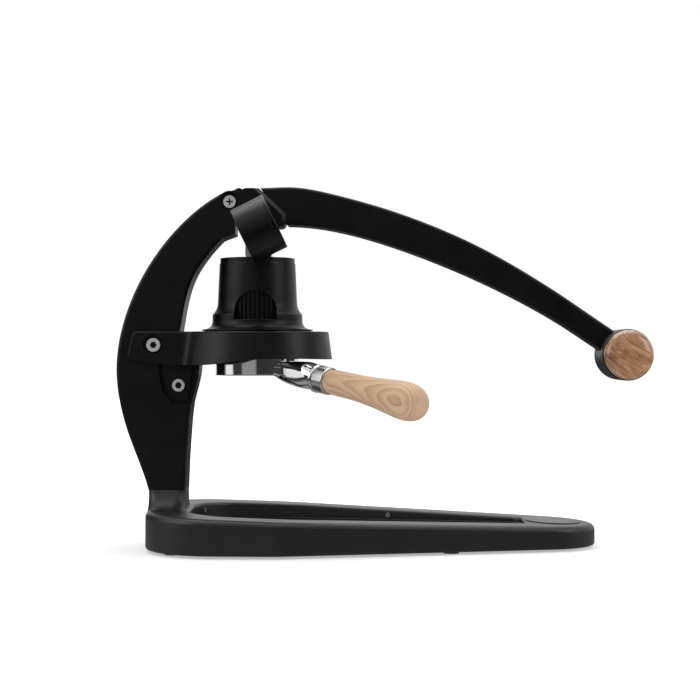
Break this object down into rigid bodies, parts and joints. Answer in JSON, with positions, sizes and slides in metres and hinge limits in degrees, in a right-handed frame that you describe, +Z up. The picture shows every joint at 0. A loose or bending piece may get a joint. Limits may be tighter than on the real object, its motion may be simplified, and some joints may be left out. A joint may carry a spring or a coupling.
{
  "type": "lever espresso machine",
  "caption": "Hand-pulled lever espresso machine: tapered loop base, curved post, clamped ring, brew cylinder, long lever with crosswise wood-capped handle, pressure gauge and wood-grip portafilter",
  "frame": {"origin": "On the table, straight below the axis of the brew cylinder, where the cup stands.", "axes": "+X runs from the post to the lever's handle, along the machine's longest extent. +Z is up. +Y completes the right-handed set and is the shortest extent; the pressure gauge is on the -Y side."},
  "size_m": [0.4345, 0.2246, 0.2929],
  "materials": {
    "powder_black": "satin",
    "jacket_black": "satin",
    "barrel_black": "satin",
    "gauge_black": "satin",
    "black_plastic": "satin",
    "foot_rubber": "matte",
    "screw_steel": "satin",
    "bare_steel": "satin",
    "chrome": "polished",
    "light_wood": "satin",
    "dark_wood": "satin",
    "bush_bronze": "satin",
    "dial_white": "matte",
    "clear_glass": "polished",
    "needle_black": "satin"
  },
  "bodies": {
    "root": {"base": "powder_black", "base_feet": "foot_rubber", "front_pad": "black_plastic", "rail_studs": "screw_steel", "post": "powder_black", "post_bolts": "screw_steel", "bracket": "powder_black", "bracket_arm_bolts": "screw_steel", "bracket_leg_bolts": "screw_steel", "brew_cylinder": "bare_steel", "jacket": "jacket_black", "lock_collar": "bare_steel", "collar_screws": "screw_steel", "group_gasket": "foot_rubber", "dispersion_screen": "bare_steel", "pivot_bushings": "bush_bronze"},
    "lever": {"lever_arm": "powder_black", "pivot_shaft": "bare_steel", "pivot_screws": "screw_steel", "link_pin": "bare_steel", "link_pin_clips": "screw_steel", "handle_barrel": "barrel_black", "handle_caps": "dark_wood", "handle_rod": "screw_steel"},
    "plunger": {"plunger_head": "bare_steel", "plunger_stem": "bare_steel", "piston": "bare_steel", "piston_seals": "foot_rubber", "gauge_case": "gauge_black", "gauge_bezel": "chrome", "gauge_dial": "dial_white", "gauge_glass": "clear_glass", "gauge_movement": "bush_bronze", "gauge_tube": "bare_steel", "tube_nut": "screw_steel"},
    "needle": {"gauge_needle": "needle_black"},
    "portafilter": {"portafilter_body": "chrome", "grip_ferrule": "chrome", "grip_rod": "screw_steel", "portafilter_grip": "light_wood", "filter_basket": "bare_steel", "basket_spring": "screw_steel"}
  },
  "joints": [
    {"name": "lever_hinge", "type": "hinge", "parent": "root", "child": "lever", "pos_m": [-0.0217, 0, 0.2805], "axis": [0, -1, 0], "range_deg": [0, 80]},
    {"name": "plunger_slide", "type": "slide", "parent": "root", "child": "plunger", "axis": [0, 0, 1], "range_m": [0, 0.034]},
    {"name": "needle_turn", "type": "hinge", "parent": "plunger", "child": "needle", "pos_m": [0.0036, -0.048, 0.2562], "axis": [-0.8988, 0, -0.4384], "range_deg": [0, 270], "stiffness_Nm_per_rad": 0.001},
    {"name": "portafilter_turn", "type": "hinge", "parent": "root", "child": "portafilter", "pos_m": [0, 0, 0.15], "axis": [0, 0, 1], "range_deg": [-45, 40]}
  ],
  "couplings": [
    {"joint": "plunger_slide", "follows": "lever_hinge", "m_per_rad": 0.0243}
  ]
}
